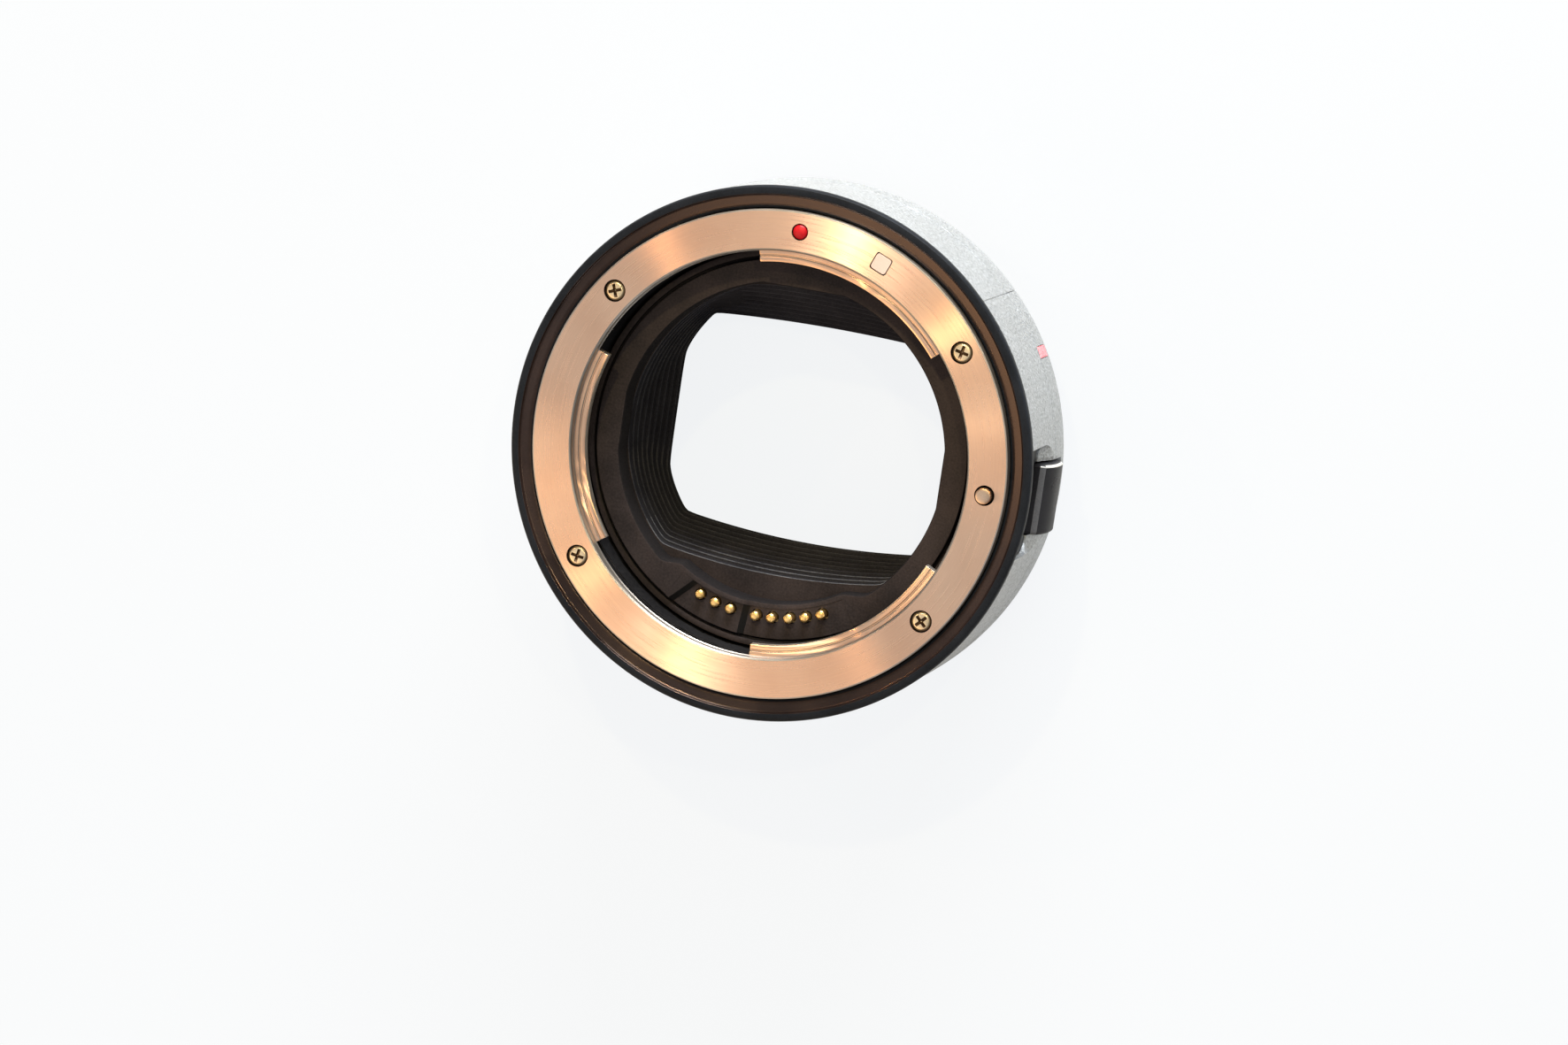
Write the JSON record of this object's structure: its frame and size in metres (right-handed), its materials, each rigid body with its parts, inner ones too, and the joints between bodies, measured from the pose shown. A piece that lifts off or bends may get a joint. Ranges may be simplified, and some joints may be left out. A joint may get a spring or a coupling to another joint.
{
  "type": "lens mount adapter",
  "caption": "Barrel that carries an SLR lens on a mirrorless camera, with a bayonet at each end, sprung contacts and a sliding lens release.",
  "frame": {"origin": "on the optical axis, in the plane of the rear bayonet's end face, which the adapter lies on", "axes": "+Z along the optical axis toward the lens, +Y toward the red index dot, +X toward the lock pin and its release lever"},
  "size_m": [0.0719, 0.071, 0.03],
  "materials": {
    "chrome_ring": "concentrically brushed chromed brass",
    "spring_steel": "bright spring steel",
    "screw_plating": "plated, pale gold",
    "red_enamel": "glossy red",
    "white_paint": "satin off-white paint",
    "black_paint": "black paint, fine texture outside and gloss on the bevel",
    "silver_paint": "grey metallic paint with a fine grain",
    "cast_alloy": "black cast alloy",
    "black_plastic": "matte brown-black",
    "baffle_black": "matte black, stepped",
    "gold_plating": "gold plated",
    "board_laminate": "green laminate",
    "flex_film": "amber film",
    "lever_black": "satin black with bright worn edges",
    "polished_steel": "polished steel"
  },
  "bodies": {
    "housing": {"front_mount_ring": "chrome_ring", "rear_mount_ring": "chrome_ring", "bayonet_spring": "spring_steel", "contact_spring_1": "spring_steel", "contact_spring_2": "spring_steel", "contact_spring_3": "spring_steel", "contact_spring_4": "spring_steel", "contact_spring_5": "spring_steel", "contact_spring_6": "spring_steel", "contact_spring_7": "spring_steel", "contact_spring_8": "spring_steel", "release_spring_1": "spring_steel", "release_spring_2": "spring_steel", "mount_screw_1": "screw_plating", "mount_screw_2": "screw_plating", "mount_screw_3": "screw_plating", "mount_screw_4": "screw_plating", "rear_screw_1": "screw_plating", "rear_screw_2": "screw_plating", "rear_screw_3": "screw_plating", "rear_screw_4": "screw_plating", "red_index_dot": "red_enamel", "barrel_index_mark": "red_enamel", "white_index_square": "white_paint", "front_ring": "black_paint", "outer_shell": "silver_paint", "body_frame": "cast_alloy", "inner_ring": "black_plastic", "contact_block": "black_plastic", "rear_contact_block": "black_plastic", "light_baffle": "baffle_black", "rear_contact_1": "gold_plating", "rear_contact_2": "gold_plating", "rear_contact_3": "gold_plating", "rear_contact_4": "gold_plating", "rear_contact_5": "gold_plating", "rear_contact_6": "gold_plating", "rear_contact_7": "gold_plating", "rear_contact_8": "gold_plating", "rear_contact_9": "gold_plating", "rear_contact_10": "gold_plating", "rear_contact_11": "gold_plating", "rear_contact_12": "gold_plating", "contact_board": "board_laminate", "flex_cable": "flex_film"},
    "lens_release": {"release_lever": "lever_black", "release_slider": "polished_steel", "lock_pin": "polished_steel", "lever_screw_1": "screw_plating", "lever_screw_2": "screw_plating"},
    "contact_1": {"contact_pin_1": "gold_plating"},
    "contact_2": {"contact_pin_2": "gold_plating"},
    "contact_3": {"contact_pin_3": "gold_plating"},
    "contact_4": {"contact_pin_4": "gold_plating"},
    "contact_5": {"contact_pin_5": "gold_plating"},
    "contact_6": {"contact_pin_6": "gold_plating"},
    "contact_7": {"contact_pin_7": "gold_plating"},
    "contact_8": {"contact_pin_8": "gold_plating"}
  },
  "joints": [
    {"name": "release_slide", "type": "slide", "parent": "housing", "child": "lens_release", "axis": [0, 0, -1], "range_m": [0, 0.0018], "stiffness_N_per_m": 400, "springref_m": -0.002, "deforming": ["release_spring_1", "release_spring_2"]},
    {"name": "contact_slide_1", "type": "slide", "parent": "housing", "child": "contact_1", "axis": [0, 0, -1], "range_m": [0, 0.0008], "stiffness_N_per_m": 200, "springref_m": -0.001, "deforming": ["contact_spring_1"]},
    {"name": "contact_slide_2", "type": "slide", "parent": "housing", "child": "contact_2", "axis": [0, 0, -1], "range_m": [0, 0.0008], "stiffness_N_per_m": 200, "springref_m": -0.001, "deforming": ["contact_spring_2"]},
    {"name": "contact_slide_3", "type": "slide", "parent": "housing", "child": "contact_3", "axis": [0, 0, -1], "range_m": [0, 0.0008], "stiffness_N_per_m": 200, "springref_m": -0.001, "deforming": ["contact_spring_3"]},
    {"name": "contact_slide_4", "type": "slide", "parent": "housing", "child": "contact_4", "axis": [0, 0, -1], "range_m": [0, 0.0008], "stiffness_N_per_m": 200, "springref_m": -0.001, "deforming": ["contact_spring_4"]},
    {"name": "contact_slide_5", "type": "slide", "parent": "housing", "child": "contact_5", "axis": [0, 0, -1], "range_m": [0, 0.0008], "stiffness_N_per_m": 200, "springref_m": -0.001, "deforming": ["contact_spring_5"]},
    {"name": "contact_slide_6", "type": "slide", "parent": "housing", "child": "contact_6", "axis": [0, 0, -1], "range_m": [0, 0.0008], "stiffness_N_per_m": 200, "springref_m": -0.001, "deforming": ["contact_spring_6"]},
    {"name": "contact_slide_7", "type": "slide", "parent": "housing", "child": "contact_7", "axis": [0, 0, -1], "range_m": [0, 0.0008], "stiffness_N_per_m": 200, "springref_m": -0.001, "deforming": ["contact_spring_7"]},
    {"name": "contact_slide_8", "type": "slide", "parent": "housing", "child": "contact_8", "axis": [0, 0, -1], "range_m": [0, 0.0008], "stiffness_N_per_m": 200, "springref_m": -0.001, "deforming": ["contact_spring_8"]}
  ]
}
